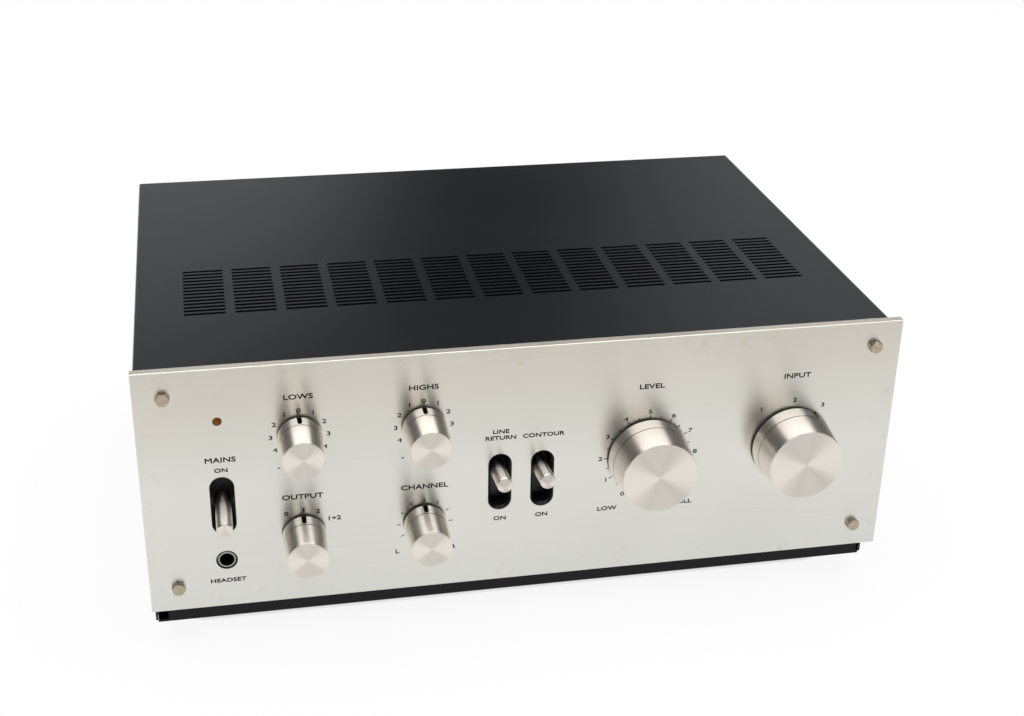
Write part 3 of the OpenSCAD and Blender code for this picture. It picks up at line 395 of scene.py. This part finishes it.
def addTick(sheet, x, z, angle, inner, outer):
    turn = math.radians(angle)  # clockwise from the top
    out = Vector((math.sin(turn), 0, math.cos(turn)))
    across = Vector((math.cos(turn), 0, -math.sin(turn)))
    half = printLayer["tickWidth"] * mm / 2
    deep = Vector((0, printLayer["thickness"] * mm, 0))
    centre = panelPoint(x, z)
    corners = [centre + out * r * mm + across * s for r, s in (
        (inner, -half), (outer, -half), (outer, half), (inner, half))]
    front = [sheet.verts.new(c - deep / 2) for c in corners]
    back = [sheet.verts.new(c + deep / 2) for c in corners]
    sheet.faces.new(front)
    sheet.faces.new(back[::-1])
    for i in range(len(corners)):
        j = (i + 1) % len(corners)
        sheet.faces.new((front[j], front[i], back[i], back[j]))


def finishPrint(name, sheet):
    bmesh.ops.recalc_face_normals(sheet, faces=sheet.faces)
    sheet.verts.index_update()
    points = len(sheet.verts)
    sheet.faces.sort(key=lambda face: face.verts[0].index * points + face.verts[1].index)  # same each run
    mesh = bpy.data.meshes.new(name)
    sheet.to_mesh(mesh)
    sheet.free()
    mesh.materials.append(inkFinish)
    piece = bpy.data.objects.new(name, mesh)
    scene.collection.objects.link(piece)
    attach(piece, "case")


def onDial(x, z, angle, radius):
    turn = math.radians(angle)
    return x + radius * math.sin(turn), z + radius * math.cos(turn)


# Tone dials: 0 on top and four steps to each side

toneDials = {"step": 30, "steps": 4, "radius": 12.7, "zeroDrop": 0.2, "signAngle": 147, "signRadius": 18.0,
             "nameRise": 19.3}
toneNames = {"LOWS": ("printLows", -104.7, 85.2), "HIGHS": ("printHighs", -49.5, 85.2)}

for name, (piece, x, z) in toneNames.items():
    sheet = bmesh.new()
    addWords(sheet, name, x, z + toneDials["nameRise"], wordType)
    addWords(sheet, "0", x, z + toneDials["radius"] - toneDials["zeroDrop"], numberType)
    for number in range(1, toneDials["steps"] + 1):
        for side in (-1, 1):
            spot = onDial(x, z, side * number * toneDials["step"], toneDials["radius"])
            addWords(sheet, str(number), *spot, numberType)
    for side, sign in ((-1, "-"), (1, "+")):
        spot = onDial(x, z, side * toneDials["signAngle"], toneDials["signRadius"])
        addWords(sheet, sign, *spot, markType)
    finishPrint(piece, sheet)


# Channel dial: ticks and the two sides

channelDial = {"place": (-49.5, 34.8), "step": 30, "ticks": 5, "tick": (11.2, 12.8),
               "sideX": 13.0, "sideZ": -14.4, "nameRise": 19.2}

x, z = channelDial["place"]
sheet = bmesh.new()
addWords(sheet, "CHANNEL", x, z + channelDial["nameRise"], wordType)
for k in range(-channelDial["ticks"], channelDial["ticks"] + 1):
    addTick(sheet, x, z, k * channelDial["step"], *channelDial["tick"])
for side, word in ((-1, "L"), (1, "R")):
    addWords(sheet, word, x + side * channelDial["sideX"], z + channelDial["sideZ"], markType)
finishPrint("printChannel", sheet)


# Selectors: a name and a mark for each place of the knob

outputDial = {"name": "OUTPUT", "place": (-104.7, 34.8), "nameRise": 19.4,  # off, one pair, the other, both
              "marks": (("0", -7.6, 11.0), ("1", 0.2, 12.4), ("2", 6.6, 11.2), ("1+2", 13.7, 6.8))}
inputDial = {"name": "INPUT", "place": (125.5, 60.4), "nameRise": 35.7,  # three numbered sources
             "marks": (("1", -16.0, 19.3), ("2", 0.0, 22.9), ("3", 14.2, 19.3))}


def printSelector(piece, dial):
    x, z = dial["place"]
    sheet = bmesh.new()
    addWords(sheet, dial["name"], x, z + dial["nameRise"], wordType)
    for word, shift, rise in dial["marks"]:
        addWords(sheet, word, x + shift, z + rise, markType)
    finishPrint(piece, sheet)


printSelector("printOutput", outputDial)


# Level dial: 0 to 10 with half steps

levelDial = {"place": (55.5, 60.4), "start": -150, "step": 30, "last": 10, "radius": 22.8,
             "tick": (19.5, 21.2), "halfTick": (19.5, 20.6), "endX": 18.6, "endZ": -26.9, "nameRise": 35.9}

x, z = levelDial["place"]
sheet = bmesh.new()
addWords(sheet, "LEVEL", x, z + levelDial["nameRise"], wordType)
for number in range(levelDial["last"] + 1):
    angle = levelDial["start"] + number * levelDial["step"]
    addWords(sheet, str(number), *onDial(x, z, angle, levelDial["radius"]), numberType)
    addTick(sheet, x, z, angle, *levelDial["tick"])
    if number < levelDial["last"]:
        addTick(sheet, x, z, angle + levelDial["step"] / 2, *levelDial["halfTick"])
for side, word in ((-1, "LOW"), (1, "FULL")):
    addWords(sheet, word, x + side * levelDial["endX"], z + levelDial["endZ"], markType)
finishPrint("printLevel", sheet)

printSelector("printInput", inputDial)


# Words round the levers and the headphone jack

leverWords = {
    "printMains": (
        ("MAINS", -139.8, 76.2, wordType), ("ON", -139.7, 71.0, smallType)),
    "printLine": (
        ("LINE", -14.4, 79.1, smallType), ("RETURN", -14.4, 75.9, smallType),
        ("ON", -14.4, 33.5, smallType)),
    "printContour": (
        ("CONTOUR", 5.4, 75.9, smallType), ("ON", 5.4, 33.6, smallType)),
    "printHeadset": (
        ("HEADSET", -139.9, 13.7, smallType),)}

for name, lines in leverWords.items():
    sheet = bmesh.new()
    for line in lines:
        addWords(sheet, *line)
    finishPrint(name, sheet)
print("panel print: numbers, ticks and words in place")


# Floor: white paper that keeps the amplifier's shadow and stays dark under it

floorLook = {
    "radius": 9.0, "sides": 96, "colour": (0.93, 0.93, 0.93), "colourSpread": 0.006,
    "cloudNoise": (3.0, 4.0, 0.55), "roughness": (0.6, 0.75), "gloss": 0.1,
    "paper": 0.92, "inset": 0.022, "fade": 0.01}


def makeFloor(look):
    sheet = bmesh.new()
    bmesh.ops.create_circle(sheet, cap_ends=True, segments=look["sides"], radius=look["radius"])
    mesh = bpy.data.meshes.new("floor")
    sheet.to_mesh(mesh)
    sheet.free()
    finish, tree, shader = startFinish("floorPaper")
    cloud = noiseValue(tree, objectSpace(tree), *look["cloudNoise"])
    setSockets(tree, shader, {
        "Base Color": shadeBetween(tree, cloud, *shades(look["colour"], look["colourSpread"])),
        "Roughness": spreadValue(tree, cloud, *look["roughness"]), "Specular IOR Level": look["gloss"]})
    away = beyondBox(tree, *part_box("chassis"), (look["inset"], look["inset"], anyDepth))
    bare = spreadValue(tree, away, 0.0, look["paper"], 0.0, look["fade"], "SMOOTHSTEP")
    rays = addNode(tree, "ShaderNodeLightPath").outputs
    seen = mathValue(tree, "MAXIMUM", rays["Is Camera Ray"], rays["Is Glossy Ray"])
    shown = mathValue(tree, "MAXIMUM", seen, rays["Is Transmission Ray"])
    share = mathValue(tree, "MULTIPLY", shown, bare)
    white = addNode(tree, "ShaderNodeEmission", {"Color": (1, 1, 1, 1), "Strength": 1.0})
    blend = addNode(tree, "ShaderNodeMixShader", {
        "Fac": share, 1: shader.outputs["BSDF"], 2: white.outputs["Emission"]})
    tree.links.new(blend.outputs["Shader"], tree.nodes["Material Output"].inputs["Surface"])
    mesh.materials.append(finish)
    floor = bpy.data.objects.new("floor", mesh)
    scene.collection.objects.link(floor)


makeFloor(floorLook)


# Room: a dim studio with two pale walls behind, and a white backdrop above the far floor

roomLook = {
    "horizon": (0.015, 0.015, 0.017), "zenith": (0.26, 0.26, 0.27), "glowRange": (0.35, 0.85),
    "walls": (  # bearing, rise, strength, rim, core
        (-6.0, 14.0, 0.47, 15.0, 9.5), (34.0, 17.5, 0.34, 21.0, 12.0)),
    "wallTint": (0.98, 0.99, 1.0, 1.0),
    "backdrop": 0.94, "backdropRise": (10.0, 4.0), "backdropSide": (65.0, 50.0)}


def makeRoom(look):
    room = bpy.data.worlds.new("room")
    room.use_nodes = True
    tree = room.node_tree
    tree.nodes.clear()
    place = addNode(tree, "ShaderNodeTexCoord").outputs["Generated"]
    toward = splitVector(tree, place)
    glow = shadeBetween(tree, toward["Z"], look["horizon"], look["zenith"], *look["glowRange"])
    light = addNode(tree, "ShaderNodeBackground", {"Color": glow, "Strength": 1.0}).outputs["Background"]
    for bearing, rise, strength, *edge in look["walls"]:
        east, up = math.radians(bearing), math.radians(rise)
        aim = (math.sin(east) * math.cos(up), math.cos(east) * math.cos(up), math.sin(up))
        near = vectorValue(tree, "DOT_PRODUCT", place, aim)
        rim, core = (math.cos(math.radians(a)) for a in edge)
        fade = spreadValue(tree, near, 0.0, strength, rim, core, "SMOOTHSTEP")
        wall = addNode(tree, "ShaderNodeBackground", {"Color": look["wallTint"], "Strength": fade})
        both = addNode(tree, "ShaderNodeAddShader", {0: light, 1: wall.outputs["Background"]})
        light = both.outputs["Shader"]
    top, bottom = (math.sin(math.radians(a)) for a in look["backdropRise"])
    outer, inner = (math.cos(math.radians(a)) for a in look["backdropSide"])
    low = spreadValue(tree, toward["Z"], 0.0, 1.0, top, bottom)
    back = spreadValue(tree, toward["Y"], 0.0, 1.0, outer, inner)
    behind = mathValue(tree, "MULTIPLY", low, back)  # metal shows the backdrop only low behind
    rays = addNode(tree, "ShaderNodeLightPath").outputs
    mirrored = mathValue(tree, "MULTIPLY", rays["Is Glossy Ray"], behind)
    seen = mathValue(tree, "MAXIMUM", rays["Is Camera Ray"], rays["Is Transmission Ray"])
    white = addNode(tree, "ShaderNodeBackground", {
        "Color": (1.0, 1.0, 1.0, 1.0), "Strength": look["backdrop"]})
    blend = addNode(tree, "ShaderNodeMixShader", {
        "Fac": mathValue(tree, "MAXIMUM", seen, mirrored), 1: light, 2: white.outputs["Background"]})
    addNode(tree, "ShaderNodeOutputWorld", {"Surface": blend.outputs["Shader"]})
    scene.world = room


makeRoom(roomLook)


# Soft box: hangs level over the amplifier

softBox = {"place": (-0.05, -0.1, 4.1), "wide": 5.6, "deep": 5.0, "power": 250.0}

lamp = bpy.data.lights.new("softBox", "AREA")
lamp.shape = "RECTANGLE"
lamp.size = softBox["wide"]
lamp.size_y = softBox["deep"]
lamp.energy = softBox["power"]
lampHolder = bpy.data.objects.new("softBox", lamp)
lampHolder.location = softBox["place"]
lampHolder.visible_camera = False
scene.collection.objects.link(lampHolder)
print("studio: floor, room and soft box in place")


# Camera at the photograph's place

photoView = {"side": -0.13789, "ahead": 0.60879, "height": 0.41702, "turn": (64.1612, -0.9906, -11.384),
             "lens": 54.932, "sensor": 36.0, "reach": (0.01, 60.0)}

lens = bpy.data.cameras.new("photoCamera")
lens.sensor_fit = "HORIZONTAL"
lens.sensor_width = photoView["sensor"]
lens.lens = photoView["lens"]
lens.clip_start, lens.clip_end = photoView["reach"]
camera = bpy.data.objects.new("photoCamera", lens)
camera.location = (photoView["side"], panelFront - photoView["ahead"], panelBottom + photoView["height"])
camera.rotation_euler = Euler([math.radians(a) for a in photoView["turn"]], "XYZ")
scene.collection.objects.link(camera)
scene.camera = camera
scene.view_settings.view_transform = "Standard"
print("camera: at", [round(v, 3) for v in camera.location])
